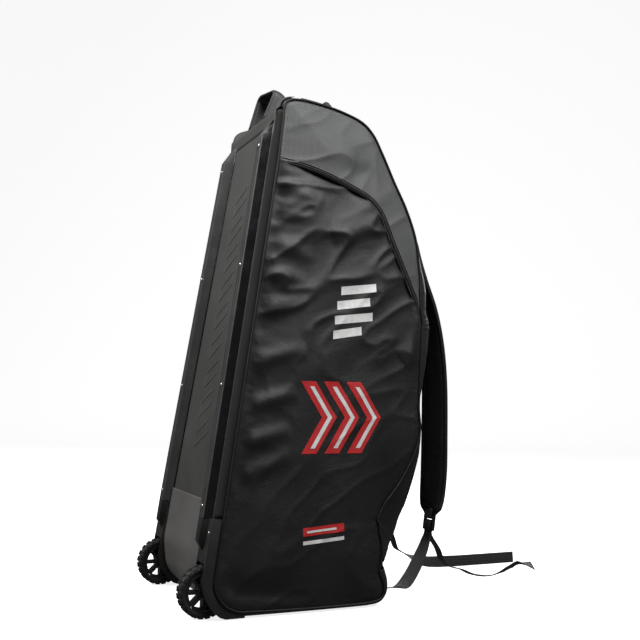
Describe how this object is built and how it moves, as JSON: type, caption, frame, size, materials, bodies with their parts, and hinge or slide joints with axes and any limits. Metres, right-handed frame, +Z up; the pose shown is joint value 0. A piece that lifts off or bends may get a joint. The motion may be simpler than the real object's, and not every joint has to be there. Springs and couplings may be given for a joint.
{
  "type": "wheeled cricket kit bag",
  "caption": "Tall black wheeled cricket kit bag standing upright, with a grey yoke on each side, a stiff back board with skid rails, corner wheels and padded shoulder straps.",
  "frame": {"origin": "on the floor, in the middle of the flat base", "axes": "+X across the bag to its right side panel, +Y out of the lid with the shoulder straps, +Z up"},
  "size_m": [0.3886, 0.886, 1.016],
  "materials": {
    "black_nylon": "glossy coated nylon, softly gathered at the seams",
    "grey_dobby": "matt grey dobby weave",
    "board_vinyl": "matt dark warm grey vinyl over a stiff board",
    "kick_vinyl": "smooth satin vinyl",
    "rail_plastic": "glossy black moulding",
    "housing_plastic": "satin black moulding",
    "tyre_rubber": "matt rubber with tread blocks",
    "hub_plastic": "satin black moulding",
    "steel": "plated steel",
    "strap_mesh": "padded, black mesh and nylon",
    "webbing": "woven black webbing",
    "zip_black": "black tape, coil and piping"
  },
  "bodies": {
    "bag_body": {"side_panel_right": "black_nylon", "side_panel_left": "black_nylon", "lid_panel": "black_nylon", "base_panel": "black_nylon", "side_yoke_right": "grey_dobby", "side_yoke_left": "grey_dobby", "back_board": "board_vinyl", "top_handle": "board_vinyl", "board_margin_right": "board_vinyl", "board_margin_left": "board_vinyl", "kick_panel": "kick_vinyl", "skid_rail_right": "rail_plastic", "skid_rail_left": "rail_plastic", "strap_buckle_right": "rail_plastic", "strap_buckle_left": "rail_plastic", "wheel_housing_right": "housing_plastic", "wheel_housing_left": "housing_plastic", "axle_right": "steel", "axle_left": "steel", "rail_screw_1_right": "steel", "rail_screw_1_left": "steel", "rail_screw_2_right": "steel", "rail_screw_2_left": "steel", "rail_screw_3_right": "steel", "rail_screw_3_left": "steel", "rail_screw_4_right": "steel", "rail_screw_4_left": "steel", "housing_screw_right": "steel", "housing_screw_left": "steel", "zip_slider_low_right": "steel", "zip_slider_low_left": "steel", "zip_slider_high_right": "steel", "zip_slider_high_left": "steel", "strap_anchor_right": "strap_mesh", "strap_anchor_left": "strap_mesh", "shoulder_strap_right": "strap_mesh", "shoulder_strap_left": "strap_mesh", "lower_webbing_right": "webbing", "lower_webbing_left": "webbing", "strap_tail_right": "webbing", "strap_tail_left": "webbing", "side_piping_right": "zip_black", "side_piping_left": "zip_black", "pocket_zip_right": "zip_black", "pocket_zip_left": "zip_black", "lid_zip_right": "zip_black", "lid_zip_left": "zip_black", "zip_pull_right": "zip_black", "zip_pull_left": "zip_black"},
    "wheel_right": {"wheel_tyre_right": "tyre_rubber", "wheel_hub_right": "hub_plastic"},
    "wheel_left": {"wheel_tyre_left": "tyre_rubber", "wheel_hub_left": "hub_plastic"}
  },
  "joints": [
    {"name": "wheel_right_spin", "type": "hinge", "parent": "bag_body", "child": "wheel_right", "pos_m": [0.154, -0.191, 0.046], "axis": [1, 0, 0], "continuous": true},
    {"name": "wheel_left_spin", "type": "hinge", "parent": "bag_body", "child": "wheel_left", "pos_m": [-0.154, -0.191, 0.046], "axis": [1, 0, 0], "continuous": true}
  ]
}
